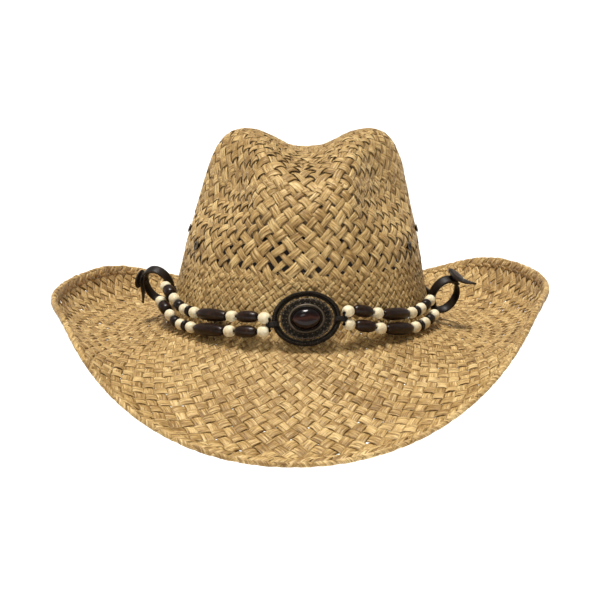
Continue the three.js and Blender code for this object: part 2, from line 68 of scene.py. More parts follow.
class Nodes:
    """A node tree, with a short call for each kind of node used here."""

    def __init__(self, tree):
        self.tree = tree

    def node(self, kind, inputs=(), **settings):
        node = self.tree.nodes.new("ShaderNode" + kind)
        for setting, value in settings.items():
            setattr(node, setting, value)
        for socket, value in dict(inputs).items():
            if isinstance(value, bpy.types.NodeSocket):
                self.tree.links.new(value, node.inputs[socket])
            else:
                node.inputs[socket].default_value = value
        return node

    def math(self, operation, a, b=0.0):
        return self.node("Math", {0: a, 1: b}, operation=operation).outputs[0]

    def times(self, a, b):
        return self.math("MULTIPLY", a, b)

    def plus(self, a, b):
        return self.math("ADD", a, b)

    def ridges(self, value):
        return self.math("ABSOLUTE", self.math("SINE", value))

    def where(self):
        return self.node("TexCoord").outputs["Object"]

    def axes(self, vector):
        return self.node("SeparateXYZ", {0: vector}).outputs

    def attribute(self, name):
        return self.axes(self.node("Attribute", attribute_name=name).outputs["Vector"])

    def vector(self, x, y, z):
        return self.node("CombineXYZ", {0: x, 1: y, 2: z}).outputs[0]

    def noise(self, vector, scale, detail=3.0, roughness=0.55):
        inputs = {"Vector": vector, "Scale": scale, "Detail": detail, "Roughness": roughness}
        return self.node("TexNoise", inputs).outputs["Fac"]

    def ramp(self, value, *stops):
        node = self.node("ValToRGB", {0: value})
        elements = node.color_ramp.elements
        while len(elements) < len(stops):
            elements.new(0.5)
        for element, (position, colour) in zip(elements, stops):
            element.position = position
            element.color = (*colour, 1)
        return node.outputs["Color"]

    def band(self, value, low, high):
        """Rises from 0 at low to 1 at high."""
        inputs = {"Value": value, "From Min": low, "From Max": high}
        return self.node("MapRange", inputs, clamp=True).outputs["Result"]

    def blend(self, factor, a, b):
        a, b = (c if isinstance(c, bpy.types.NodeSocket) else (*c, 1) for c in (a, b))
        return self.node("Mix", {0: factor, 6: a, 7: b}, data_type="RGBA").outputs[2]

    def over(self, base, share, most, colour):
        """The base with another colour laid over it, up to the most that it may cover."""
        return self.blend(self.times(share, most), base, colour)


# ---- Camera, light and floor ----

CAMERA = {"distance": 1.0, "elevation": 10.6, "view_width": 0.414}
SUN = {"place": (-0.16, -0.18, 1.45), "power": 4.3, "colour": (1, 0.98, 0.94), "angle": 0.30}
WINDOW = {"place": (-0.35, -1.3, 0.95), "power": 1.6, "size": 0.45}
# How bright the room is, by how high and how far back a direction points.
ROOM_HEIGHT = {"From Min": 0.10, "From Max": 0.30, "To Min": 1.10, "To Max": 0.34}
ROOM_DEPTH = {"From Min": -0.35, "From Max": 0.15, "To Min": 0.40, "To Max": 1.0}
FLOOR = {"drop": 0.5, "reach": 30}


def add_object(name, data):
    thing = bpy.data.objects.new(name, data)
    bpy.context.scene.collection.objects.link(thing)
    return thing


def make_camera():
    data = bpy.data.cameras.new("camera")
    camera = add_object("camera", data)
    tilt = math.radians(CAMERA["elevation"])
    back = Vector((0, -math.cos(tilt), math.sin(tilt)))
    camera.location = back * CAMERA["distance"]
    camera.rotation_euler = (math.pi / 2 - tilt, 0, 0)
    data.angle = 2 * math.atan(CAMERA["view_width"] / 2 / CAMERA["distance"])
    bpy.context.scene.camera = camera


def add_light(name, kind, place, power, colour=(1, 1, 1), **settings):
    data = bpy.data.lights.new(name, kind)
    data.energy = power
    data.color = colour
    for setting, value in settings.items():
        setattr(data, setting, value)
    light = add_object(name, data)
    light.location = place
    light.rotation_euler = (-Vector(place)).to_track_quat("-Z", "Y").to_euler()


def make_world():
    """A room that is white round the horizon, and dimmer overhead and behind the camera."""
    world = bpy.data.worlds.new("pale_room")
    world.use_nodes = True
    room = Nodes(world.node_tree)
    background = room.tree.nodes["Background"]
    background.inputs["Color"].default_value = (1, 1, 1, 1)
    axes = room.axes(room.node("TexCoord").outputs["Generated"])
    height = room.node("MapRange", {"Value": axes[2], **ROOM_HEIGHT}).outputs["Result"]
    depth = room.node("MapRange", {"Value": axes[1], **ROOM_DEPTH}).outputs["Result"]
    room.tree.links.new(room.times(height, depth), background.inputs["Strength"])
    bpy.context.scene.world = world


def make_stage():
    bpy.context.scene.view_settings.view_transform = "Standard"
    make_world()
    add_light("sun", "SUN", **SUN)
    add_light("window", "AREA", **WINDOW, shape="DISK")
    low = cad_box[0][2] - FLOOR["drop"]
    reach = FLOOR["reach"]
    mesh = bpy.data.meshes.new("floor")
    square = [(-reach, -reach, low), (reach, -reach, low), (reach, reach, low), (-reach, reach, low)]
    mesh.from_pydata(square, [], [(0, 1, 2, 3)])
    paint = Paint("pale_floor", roughness=0.9)
    speckle = paint.noise(paint.where(), 3, detail=2)
    paint.colour(paint.blend(speckle, (0.95, 0.95, 0.95), (0.97, 0.97, 0.97)))
    mesh.materials.append(paint.material)
    add_object("floor", mesh)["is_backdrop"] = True


# ---- Materials ----

class Paint(Nodes):
    """A material's node tree, with calls that finish its shader."""

    def __init__(self, name, roughness=0.5, metallic=0.0, **sockets):
        self.material = bpy.data.materials.new(name)
        self.material.use_nodes = True
        super().__init__(self.material.node_tree)
        self.shader = self.tree.nodes["Principled BSDF"]
        self.shader.inputs["Roughness"].default_value = roughness
        self.shader.inputs["Metallic"].default_value = metallic
        for socket, value in sockets.items():
            self.shader.inputs[socket.replace("_", " ")].default_value = value

    def colour(self, value):
        self.tree.links.new(value, self.shader.inputs["Base Color"])

    def roughness(self, value, low, high):
        shade = self.node("MapRange", {"Value": value, "To Min": low, "To Max": high})
        self.tree.links.new(shade.outputs["Result"], self.shader.inputs["Roughness"])

    def bump(self, height, depth, strength=1.0):
        inputs = {"Height": height, "Distance": depth * MM, "Strength": strength}
        node = self.node("Bump", inputs)
        self.tree.links.new(node.outputs["Normal"], self.shader.inputs["Normal"])


def straw_paint():
    """Palm strips: each its own shade, with fine fibres that run along it."""
    paint = Paint("palm_straw", Specular_IOR_Level=0.32)
    along, across, shade = paint.attribute("strip")
    tint = paint.math("FRACT", shade)
    row = paint.times(tint, 41.0)
    fibre_at = paint.vector(paint.times(along, 0.030), across, row)
    fibres = paint.noise(fibre_at, 3.2, detail=5, roughness=0.72)
    patch_at = paint.vector(paint.times(along, 0.07), row, paint.times(across, 0.3))
    patches = paint.noise(patch_at, 1.6, detail=2)
    base = paint.ramp(
        paint.plus(paint.times(tint, 0.42), paint.times(patches, 0.70)),
        (0.25, (0.250, 0.142, 0.040)),
        (0.45, (0.400, 0.245, 0.082)),
        (0.65, (0.520, 0.335, 0.122)),
        (0.88, (0.700, 0.500, 0.220)),
    )
    base = paint.over(base, paint.band(fibres, 0.52, 0.38), 0.95, (0.150, 0.074, 0.018))
    base = paint.over(base, paint.band(fibres, 0.54, 0.66), 0.75, (0.840, 0.640, 0.330))
    # The strips' edges are darkened: partly dirt, partly painted shade where strips meet and dip under
    # each other.
    edge = paint.band(paint.math("ABSOLUTE", across), 0.90, 1.03)
    base = paint.over(base, edge, 0.65, (0.070, 0.034, 0.010))
    # The strips' inner faces, in the crown's shade, are painted darker.
    paint.colour(paint.over(base, paint.band(shade, 1.2, 1.8), 0.82, (0.040, 0.022, 0.008)))
    paint.roughness(fibres, 0.44, 0.66)
    paint.bump(fibres, 0.45, 0.85)
    return paint.material


def bone_paint():
    paint = Paint("bone", Specular_IOR_Level=0.45, Subsurface_Weight=0.12)
    paint.shader.inputs["Subsurface Radius"].default_value = (0.002, 0.0014, 0.0008)
    cloud = paint.noise(paint.where(), 260, detail=3)
    pores = paint.noise(paint.where(), 1900, detail=2)
    base = paint.ramp(cloud, (0.3, (0.62, 0.50, 0.29)), (0.7, (0.80, 0.72, 0.52)))
    base = paint.blend(paint.band(pores, 0.66, 0.78), base, (0.36, 0.25, 0.12))
    paint.colour(base)
    paint.roughness(cloud, 0.38, 0.6)
    paint.bump(pores, 0.08, 0.5)
    return paint.material


def horn_paint():
    paint = Paint("horn", Specular_IOR_Level=0.26)
    along, across, shade = paint.attribute("bead")
    grain_at = paint.vector(paint.times(along, 0.25), paint.times(across, 2.0), shade)
    grain = paint.noise(grain_at, 2.4, detail=4, roughness=0.65)
    black = paint.ramp(grain, (0.40, (0.006, 0.004, 0.003)), (0.75, (0.022, 0.013, 0.010)))
    brown = paint.ramp(
        grain,
        (0.40, (0.008, 0.004, 0.002)),
        (0.58, (0.020, 0.008, 0.004)),
        (0.80, (0.048, 0.019, 0.009)),
    )
    paint.colour(paint.blend(paint.band(shade, 9.4, 9.6), black, brown))
    paint.roughness(grain, 0.22, 0.40)
    paint.bump(grain, 0.12, 0.4)
    return paint.material


def bronze_paint():
    """Dark antique bronze, lighter where it stands out: partly rubbed wear, partly a painted highlight
    on the relief.
    """
    paint = Paint("antique_bronze", metallic=0.6, Specular_IOR_Level=0.3)
    raised = paint.node("NewGeometry").outputs["Pointiness"]
    # Raised parts are lightened: partly rubbed wear, partly a painted highlight.
    worn = paint.band(raised, 0.50, 0.60)
    tarnish = paint.noise(paint.where(), 420, detail=4, roughness=0.65)
    base = paint.ramp(
        tarnish,
        (0.35, (0.006, 0.004, 0.003)),
        (0.60, (0.022, 0.016, 0.009)),
        (0.80, (0.062, 0.050, 0.026)),
    )
    paint.colour(paint.over(base, worn, 0.6, (0.20, 0.15, 0.10)))
    paint.roughness(tarnish, 0.30, 0.58)
    paint.bump(tarnish, 0.10, 0.5)
    return paint.material


def steel_paint():
    paint = Paint("drawn_steel", metallic=1.0)
    streaks = paint.noise(paint.where(), 300, detail=3)
    paint.colour(paint.ramp(streaks, (0.3, (0.30, 0.29, 0.28)), (0.7, (0.46, 0.45, 0.44))))
    paint.roughness(streaks, 0.3, 0.5)
    paint.bump(streaks, 0.03, 0.4)
    return paint.material


def stone_paint():
    """A polished red-brown stone with a darker top and soft bands."""
    paint = Paint("polished_stone", Specular_IOR_Level=0.2, Coat_Weight=0.12, Coat_Roughness=0.05)
    _, up, _ = paint.attribute("face")
    cloud = paint.noise(paint.where(), 120, detail=3)
    paint.colour(paint.ramp(
        paint.plus(up, paint.times(cloud, 0.5)),
        (0.00, (0.012, 0.005, 0.004)),
        (0.30, (0.046, 0.018, 0.012)),
        (0.48, (0.016, 0.006, 0.005)),
        (0.75, (0.006, 0.004, 0.004)),
    ))
    paint.roughness(cloud, 0.10, 0.22)
    paint.bump(cloud, 0.03, 0.3)
    return paint.material


def leather_paint():
    paint = Paint("leather", Specular_IOR_Level=0.22)
    grain = paint.node("TexVoronoi", {"Vector": paint.where(), "Scale": 1500}).outputs["Distance"]
    cloud = paint.noise(paint.where(), 190, detail=4)
    worn = paint.band(paint.node("NewGeometry").outputs["Pointiness"], 0.53, 0.62)
    base = paint.ramp(cloud, (0.35, (0.006, 0.004, 0.003)), (0.70, (0.019, 0.012, 0.008)))
    paint.colour(paint.over(base, worn, 0.5, (0.085, 0.058, 0.040)))
    paint.roughness(cloud, 0.34, 0.58)
    paint.bump(grain, 0.10, 0.6)
    return paint.material


def cord_paint():
    """Waxed two-ply cord: its twist is a slanting ridge along the strand."""
    paint = Paint("waxed_cord", Specular_IOR_Level=0.2)
    along, turn, _ = paint.attribute("strand")
    ridge = paint.ridges(paint.plus(paint.times(along, 5.0), paint.times(turn, 2 * math.pi)))
    paint.colour(paint.ramp(ridge, (0.1, (0.004, 0.003, 0.003)), (0.8, (0.020, 0.016, 0.013))))
    paint.roughness(ridge, 0.7, 0.45)
    paint.bump(ridge, 0.25, 0.9)
    return paint.material


def band_paint():
    """Dark ribbed cotton: upright ribs crossed by a finer weft."""
    paint = Paint("ribbed_cotton", roughness=0.85, Specular_IOR_Level=0.1, Sheen_Weight=0.03)
    along, up, _ = paint.attribute("strand")
    ribs = paint.ridges(paint.times(along, 3.1))
    weft = paint.ridges(paint.times(up, 8.0))
    fuzz = paint.noise(paint.where(), 1400, detail=3)
    cloth = paint.plus(paint.times(ribs, 0.7), paint.times(weft, 0.3))
    shade = paint.plus(paint.times(cloth, 0.6), paint.times(fuzz, 0.4))
    paint.colour(paint.ramp(shade, (0.2, (0.004, 0.003, 0.003)), (0.85, (0.017, 0.012, 0.010))))
    paint.bump(shade, 0.3, 0.8)
    return paint.material


def thread_paint():
    paint = Paint("thread", roughness=0.8)
    twist = paint.noise(paint.where(), 2600, detail=2)
    paint.colour(paint.ramp(twist, (0.3, (0.30, 0.22, 0.13)), (0.7, (0.52, 0.41, 0.27))))
    paint.bump(twist, 0.08, 0.6)
    return paint.material


# ---- Mesh making ----

class Shape:
    """Grids of points gathered into one mesh. A grid may carry a vector on each point."""

    def __init__(self):
        self.points = []
        self.marks = []
        self.quads = []
        self.caps = []
        self.count = 0

    def grid(self, points, marks=None, closed=False, caps=False):
        """points is rows × columns × 3: rows follow the length, columns go round it."""
        rows, columns = points.shape[:2]
        index = self.count + np.arange(rows * columns).reshape(rows, columns)
        following = np.roll(index, -1, 0) if closed else index[1:]
        current = index if closed else index[:-1]
        quads = np.stack([current, np.roll(current, -1, 1), np.roll(following, -1, 1), following], -1)
        self.quads.append(quads.reshape(-1, 4))
        if caps:
            self.caps += [index[0][::-1].tolist(), index[-1].tolist()]
        self.points.append(points.reshape(-1, 3))
        if marks is not None:
            self.marks.append(np.broadcast_to(marks, points.shape).reshape(-1, 3))
        self.count += rows * columns

    def place(self, matrix):
        matrix = np.array(matrix)
        self.points = [p @ matrix[:3, :3].T + matrix[:3, 3] for p in self.points]

    def mesh(self, name, mark):
        points = np.concatenate(self.points) * MM
        faces = [*np.concatenate(self.quads).tolist(), *self.caps]
        mesh = bpy.data.meshes.new(name)
        mesh.from_pydata(points.tolist(), [], faces, shade_flat=False)
        mesh.validate()
        if mark:
            attribute = mesh.attributes.new(mark, "FLOAT_VECTOR", "POINT")
            attribute.data.foreach_set("vector", np.concatenate(self.marks).astype(np.float32).ravel())
        return mesh


def piece(name, shape, paint, body, nodes=(), mark=None):
    mesh = shape.mesh(name, mark)
    mesh.materials.append(paint)
    thing = add_object(name, mesh)
    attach(thing, body)
    if nodes:
        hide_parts(*nodes)


def unit(vectors):
    return vectors / np.maximum(np.linalg.norm(vectors, axis=-1, keepdims=True), 1e-12)


def turns(count):
    """Even steps of one whole turn."""
    return np.linspace(0, 2 * np.pi, count, endpoint=False)


def distances(points):
    """How far along a line each of its points is."""
    return np.concatenate([[0], np.cumsum(np.linalg.norm(np.diff(points, axis=0), axis=-1))])


def together(*values):
    """Vectors from their parts, which are spread to one shape."""
    return np.stack(np.broadcast_arrays(*values), -1)


def resample(at, places, line):
    """The points of a line at new places along it."""
    return np.stack([np.interp(at, places, line[:, axis]) for axis in range(3)], -1)


def turn_ring(ring, shift):
    """Moves the start of a closed ring, whose last value repeats its first."""
    turned = np.roll(ring[:-1], shift, 0)
    return np.concatenate([turned, turned[:1]])


def lathe(profile, segments=32):
    """A surface of revolution about +Z from [radius, height] pairs."""
    radius, height = np.array(profile, float).T[..., None]
    turn = turns(segments)
    return together(radius * np.cos(turn), radius * np.sin(turn), height)


def frames(points, closed=False, up=(0, 0, 1)):
    """Two directions square to a line at each of its points."""
    if closed:
        ahead = np.roll(points, -1, 0) - np.roll(points, 1, 0)
    else:
        ahead = np.gradient(points, axis=0)
    ahead = unit(ahead)
    side = unit(np.cross(ahead, up))
    return side, np.cross(side, ahead)


def smooth_line(points, count, closed=False):
    """A Catmull-Rom curve through the points, with about equal steps."""
    points = np.asarray(points, float)
    if closed:
        padded = np.concatenate([points[-1:], points, points[:2]])
    else:
        ends = 2 * points[0] - points[1], 2 * points[-1] - points[-2]
        padded = np.concatenate([ends[0][None], points, ends[1][None]])
    spans = len(padded) - 3
    share = np.linspace(0, spans, spans * 12 + 1)
    at = np.minimum(share.astype(int), spans - 1)
    t = (share - at)[:, None]
    a, b, c, d = (padded[at + i] for i in range(4))
    square, cube = 2 * a - 5 * b + 4 * c - d, 3 * b - a - 3 * c + d
    fine = b + 0.5 * ((c - a) * t + square * t**2 + cube * t**3)
    length = distances(fine)
    return resample(np.linspace(0, length[-1], count, endpoint=not closed), length, fine)


def tube(shape, points, radius, sides=8, closed=False, up=(0, 0, 1)):
    """A round tube along a line. Its marks are the distance along and the turn round."""
    side, over = frames(points, closed, up)
    turn = turns(sides)
    ring = side[:, None] * np.cos(turn)[:, None] + over[:, None] * np.sin(turn)[:, None]
    marks = together(distances(points)[:, None], turn / (2 * np.pi), 0.0)
    shape.grid(points[:, None] + ring * radius, marks, closed, not closed)


def ball(shape, at, radius, rings=8):
    turn = np.linspace(-np.pi / 2, np.pi / 2, rings)
    points = lathe(np.stack([np.cos(turn), np.sin(turn)], -1), 2 * rings)
    shape.grid(points * radius + np.asarray(at), np.zeros(3))


def strap_section(width, thickness, corner=0.35, crown=0.12):
    """A flat strap's section with rounded edges: [across, out] pairs."""
    half, rise = width / 2, thickness / 2
    return np.array([
        [-half, -rise + corner], [-half + corner, -rise], [0, -rise],
        [half - corner, -rise], [half, -rise + corner], [half, rise - corner],
        [half - corner, rise], [half * 0.45, rise + crown], [-half * 0.45, rise + crown],
        [-half + corner, rise], [-half, rise - corner],
    ])


def strap(shape, points, across, out, section, scale=1.0):
    """Sweeps a strap's section along points, given its across and outward directions."""
    widths = np.broadcast_to(scale, len(points))[:, None, None]
    body = points[:, None] + across[:, None] * section[:, :1] * widths
    body = body + out[:, None] * section[:, 1:]
    shape.grid(body, together(distances(points)[:, None], section[:, 0], 0.0), caps=True)


# ---- The hat's surface ----

CROWN = {
    "half_width": 87, "half_length": 103, "height": 119, "foot": -1.5,
    "taper": 0.0025, "front_taper": 0.0022, "boxiness": 8,
    "front_drop": 9, "rear_drop": 8, "lean": 5,
}
CREASE = {"depth": 16, "half_width": 26, "rear_start": 23, "rear_end": 102}
PINCH = {"share": 0.26, "side": (-0.12, 0.45), "ridge": (0.72, 0.95), "rise": (0.40, 0.72)}
DENT = {"depth": 3, "y": -36, "z": 88, "half_length": 20, "half_height": 18}
BRIM = {
    "turn": 9, "wall_slope": -75,
    "side": (97, -23, 105), "front": (110, -40, 10), "rear": (99, -14, -4),
    "blend": (-0.26, 0.86), "roll": 4,
}


def ease(x, low, high):
    t = np.clip((x - low) / (high - low), 0, 1)
    return t * t * (3 - 2 * t)


def mix(a, b, share):
    return a + (b - a) * share


def crown_point(path, angle):
    """The middle of the straw on the crown: path is 0 at the tip and 1 at the foot."""
    sweep = path * np.pi / 2
    n = CROWN["boxiness"]
    reach = (np.sin(sweep) ** n + np.abs(np.cos(sweep)) ** n) ** (-1 / n)
    across = reach * np.sin(sweep)
    up = reach * np.maximum(np.cos(sweep), 0)
    flat_y = CROWN["half_length"] * 0.75 * across * np.sin(angle)
    drop = CROWN["front_drop"] * ease(-flat_y, 0, 75) + CROWN["rear_drop"] * ease(flat_y, 0, 75)
    z = CROWN["foot"] + (CROWN["height"] - CROWN["foot"] - drop) * up
    y_taper = np.where(np.sin(angle) < 0, CROWN["front_taper"], CROWN["taper"])
    x = CROWN["half_width"] * across * (1 - CROWN["taper"] * z) * np.cos(angle)
    y = CROWN["half_length"] * across * (1 - y_taper * z) * np.sin(angle)
    ahead = -across * np.sin(angle)
    drawn = ease(ahead, *PINCH["side"]) * (1 - ease(ahead, *PINCH["ridge"]))
    x = x * (1 - PINCH["share"] * drawn * ease(up, *PINCH["rise"]))
    dent = ((y - DENT["y"]) / DENT["half_length"]) ** 2 + ((z - DENT["z"]) / DENT["half_height"]) ** 2
    x = x - np.sign(x) * DENT["depth"] * np.exp(-dent) * ease(np.abs(x), 10, 50)
    crease = np.exp(-((x / CREASE["half_width"]) ** 2)) * ease(up, 0.55, 0.95)
    z = z - CREASE["depth"] * crease * (1 - ease(y, CREASE["rear_start"], CREASE["rear_end"]))
    return np.stack([x + CROWN["lean"] * z / CROWN["height"], y, z], -1)


def plan_normal(angle):
    """The direction that faces straight out of the oval plan at an angle."""
    x = np.cos(angle) / CROWN["half_width"]
    y = np.sin(angle) / CROWN["half_length"]
    return unit(np.stack([x, y, np.zeros_like(x)], -1))


def brim_point(path, angle):
    """The middle of the straw on the brim: path is 1 at the foot and 2 at the rim."""
    sidewards = np.cos(angle) ** 2
    share = ease(sidewards, *BRIM["blend"])
    front = np.sin(angle) < 0
    ends = [np.where(front, a, b) for a, b in zip(BRIM["front"], BRIM["rear"])]
    width = mix(ends[0], BRIM["side"][0], sidewards)
    slope = mix(ends[1], BRIM["side"][1], share)
    curl = mix(ends[2], BRIM["side"][2], share)
    length = (path - 1) * width
    steps = 40
    reach = np.zeros_like(length)
    rise = np.zeros_like(length)
    for step in range(steps):
        along = (step + 0.5) * length / steps
        flat = slope + curl * (along / width) ** 2
        heading = np.radians(mix(BRIM["wall_slope"], flat, ease(along, 0, BRIM["turn"])))
        reach += np.cos(heading) * length / steps
        rise += np.sin(heading) * length / steps
    point = crown_point(np.ones_like(angle), angle) + plan_normal(angle) * reach[..., None]
    point[..., 2] += rise + BRIM["roll"] * (path - 1) ** 2 * np.cos(angle)
    return point


def beside_wall(angle, height, offset):
    """A point beside the crown wall: offset is measured level, out from the straw's middle."""
    y_taper = np.where(np.sin(angle) < 0, CROWN["front_taper"], CROWN["taper"])
    x = CROWN["half_width"] * (1 - CROWN["taper"] * height) * np.cos(angle)
    x = x + CROWN["lean"] * height / CROWN["height"]
    y = CROWN["half_length"] * (1 - y_taper * height) * np.sin(angle)
    z = np.broadcast_to(np.asarray(height, float), np.shape(x))
    return np.stack([x, y, z], -1) + plan_normal(angle) * np.asarray(offset, float)[..., None]


class Surface:
    """The straw's middle surface, by distance from the crown's tip and angle round it."""

    STEP = 0.5
    COLUMNS = 720
    CROWN_ROWS = 420
    BRIM_ROWS = 240
    BEYOND = 12

    def __init__(self):
        self.angle = np.linspace(0, 2 * np.pi, self.COLUMNS + 1)
        path = np.linspace(1e-3, 1, self.CROWN_ROWS)
        crown = crown_point(*np.meshgrid(path, self.angle, indexing="ij"))
        path = np.linspace(1, 2, self.BRIM_ROWS)[1:]
        brim = brim_point(*np.meshgrid(path, self.angle, indexing="ij"))
        points = np.concatenate([crown, brim])
        far = np.stack([distances(points[:, column]) for column in range(len(self.angle))], -1)
        self.rim = far[-1]
        self.rows = np.arange(0, far.max() + self.BEYOND, self.STEP)
        self.place = np.empty((len(self.rows), len(self.angle), 3))
        for column, reach in enumerate(far.T):
            self.place[:, column] = self.even_steps(points[:, column], reach)
        self.even_out()
        down = np.gradient(self.place, axis=0)
        onward = np.empty_like(self.place)
        onward[:, 1:-1] = self.place[:, 2:] - self.place[:, :-2]
        onward[:, 0] = onward[:, -1] = self.place[:, 1] - self.place[:, -2]
        self.normal = unit(np.cross(down, onward))
        girth = np.linalg.norm(np.diff(self.place, axis=1), axis=-1).sum(1)
        self.radius = np.maximum(girth / (2 * np.pi), 0.5)
        between = (self.radius[1:] + self.radius[:-1]) / 2
        self.spiral = np.concatenate([[0], np.cumsum(self.STEP / between)])

    def even_steps(self, line, reach):
        """The line's points at even steps, carried on straight past the rim."""
        further = 40
        ahead = (line[-1] - line[-2]) / (reach[-1] - reach[-2])
        line = np.concatenate([line, [line[-1] + ahead * further]])
        return resample(self.rows, np.append(reach, reach[-1] + further), line)

    def even_out(self):
        """Respaces each ring evenly by its own length, starting from the front."""
        quarter = self.COLUMNS * 3 // 4
        share = np.linspace(0, 1, self.COLUMNS + 1)
        spread = np.empty(self.place.shape[:2])
        for row in range(len(self.rows)):
            ring = turn_ring(self.place[row], -quarter)
            reach = distances(ring)
            spread[row] = reach / max(reach[-1], 1e-9)
            self.place[row] = turn_ring(resample(share, spread[row], ring), quarter)
        rim = turn_ring(self.rim, -quarter)
        row = np.minimum((rim / self.STEP).astype(int), len(self.rows) - 1)
        even = np.interp(share, spread[row, np.arange(len(rim))], rim)
        self.rim = turn_ring(even, quarter)

    def at(self, far, angle, offset=0.0):
        row = np.clip(far / self.STEP, 0, len(self.rows) - 1.001)
        column = (angle % (2 * np.pi)) / (2 * np.pi) * self.COLUMNS
        i, j = row.astype(int), np.minimum(column.astype(int), self.COLUMNS - 1)
        u, v = (row - i)[..., None], (column - j)[..., None]

        def blend(table):
            low = table[i, j] * (1 - v) + table[i, j + 1] * v
            high = table[i + 1, j] * (1 - v) + table[i + 1, j + 1] * v
            return low * (1 - u) + high * u

        return blend(self.place) + unit(blend(self.normal)) * np.asarray(offset)[..., None]

    def rim_at(self, angle):
        return np.interp(angle % (2 * np.pi), self.angle, self.rim)

    def spiral_of(self, far):
        return np.interp(far, self.rows, self.spiral)

    def far_of(self, spiral):
        return np.interp(spiral, self.spiral, self.rows)


# ---- Woven straw ----

STRIP = {"thickness": 0.46, "arch": 0.14, "steps": 4, "inset": 1.8}
# How far the strips swing over and under each other, which grows with their spacing.
SWING = {"size": 0.58, "pitch": 6.0, "least": 0.55, "most": 1.15, "squareness": 2.6}
# How uneven the strips are: the rates of each ripple along a strip, and their sizes.
RIPPLES = {
    "wander": ((0.7, 0.060), (2.3, 0.045)),
    "height": ((1.7, 0.12), (4.1, 0.09)),
    "width": ((1.3, 0.25),),
    "tilt": ((2.7, 0.16),),
}
# The distances down from the tip to the ring of larger holes and to the crown's foot.
RING = 139
FOOT = 178
# Each zone: name, strips round the hat each way, where it starts and ends, the share of
# their spacing that the strips fill at each end, and how much narrower loose strips are.
ZONES = (
    ("weave_tip", 14, 9, 23, (0.88, 0.88), 0.20),
    ("weave_crown_top", 24, 20, 41, (0.86, 0.86), 0.26),
    ("weave_crown_upper", 38, 38, 80, (0.85, 0.85), 0.30),
    ("weave_crown", 52, 77, RING + 2, (0.85, 0.80), 0.30),
    ("weave_crown_base", 104, RING - 2, FOOT, (0.88, 0.98), 0.18),
    ("weave_brim", 104, FOOT, 330, (1.0, 0.97), 0.06),
)
# The share of the strips that are loose, and how full the crown's weave is at its back.
LOOSE_SHARE = 0.33
BACK_FILL = 0.99
EDGE = {"depth": 5.6, "radius": 1.5, "strips": 104, "scallop": 0.55, "flat_end": 0.6}
BUTTON_WEAVE = {"pitch": 3.4, "strips": 7, "thickness": 0.35, "lift": 0.3}


def strip_section(widths, arch, thickness):
    """Across positions from -1 to 1 and heights of a strip's top and underside."""
    across = np.array([-1, -0.5, 0.5, 1, 1, -1])
    height = arch * (1 - across**2)
    height[4:] = -thickness
    return widths[..., None] * across / 2, across, height


def strip_widths(row, strips, fill, slack, lay, name):
    """The share of its spacing that each strip of a zone fills, row by row."""
    start, finish = row[0], row[-1]
    narrow = np.where(random.random(strips) < LOOSE_SHARE, 1 - slack, 1.0)
    narrow *= random.uniform(1 - slack / 4, 1 + slack / 4, strips)
    widths = mix(*fill, ease(row, start, (start + 2 * finish) / 3)) * narrow[:, None]
    if name == "weave_crown":
        # Every other strip narrows where it ends, which opens a ring of holes.
        widths[::2] *= 1 - 0.50 * ease(row, finish - 2.8, finish - 0.6)
    if name != "weave_brim":
        # The weave is close at the back, so nothing shows through both walls.
        line = np.arange(strips)[:, None] + 0.5
        behind = np.sin(np.pi * (2 * line - lay * row) / strips)
        widths = mix(widths, BACK_FILL, ease(behind, -0.55, -0.1))
    return widths


def ripple(kind, row, strips):
    waves = np.zeros((strips, len(row)))
    for rate, size in RIPPLES[kind]:
        waves += size * np.sin(row * rate + random.uniform(0, 2 * np.pi, (strips, 1)))
    return waves


def woven(surface, shape, strips, low, high, fill, slack, lay, name):
    """The strips of one zone that run one way: lay is 1 or -1."""
    steps = STRIP["steps"]
    start = math.floor(surface.spiral_of(low) * strips / np.pi)
    finish = math.ceil(surface.spiral_of(high) * strips / np.pi)
    row = np.arange(start * steps, finish * steps + 1) / steps
    widths = strip_widths(row, strips, fill, slack, lay, name)
    shade = random.random(strips)
    wander = ripple("wander", row, strips)[..., None]
    rough = ripple("height", row, strips)[..., None]
    widths = widths * (1 + slack * ripple("width", row, strips))
    side, across, height = strip_section(widths, STRIP["arch"], STRIP["thickness"])
    tilt = across * ripple("tilt", row, strips)[..., None]
    off = side + wander
    line = np.arange(strips)[:, None, None] + 0.5
    rows = row[:, None]
    angle = np.pi * (2 * line + lay * (off - rows)) / strips
    far = surface.far_of(np.pi * (rows + off) / strips)
    ring = np.minimum((far / surface.STEP).astype(int), len(surface.radius) - 1)
    pitch = math.sqrt(2) * np.pi * surface.radius[ring] / strips
    swing = SWING["size"] * np.clip(pitch / SWING["pitch"], SWING["least"], SWING["most"])
    wave = np.tanh(SWING["squareness"] * np.cos(np.pi * rows)) / np.tanh(SWING["squareness"])
    lift = lay * swing * wave + rough + tilt + height + STRIP["thickness"] / 2
    end = surface.rim_at(angle) - STRIP["inset"]
    inside = far.min(-1) < end.min(-1)
    points = surface.at(np.minimum(far, end), angle, lift)
    # The undersides that face into the crown are marked for painted shade, which darkens them.
    inner = 2 * (height < 0) * (name != "weave_brim")
    for k in range(strips):
        last = len(row) if inside[k].all() else int(np.argmin(inside[k])) + 1
        if last < 3:
            continue
        along = distances(points[k, :last, 1])[:, None] + 37 * k
        shape.grid(points[k, :last], together(along, across, shade[k] + inner), caps=True)


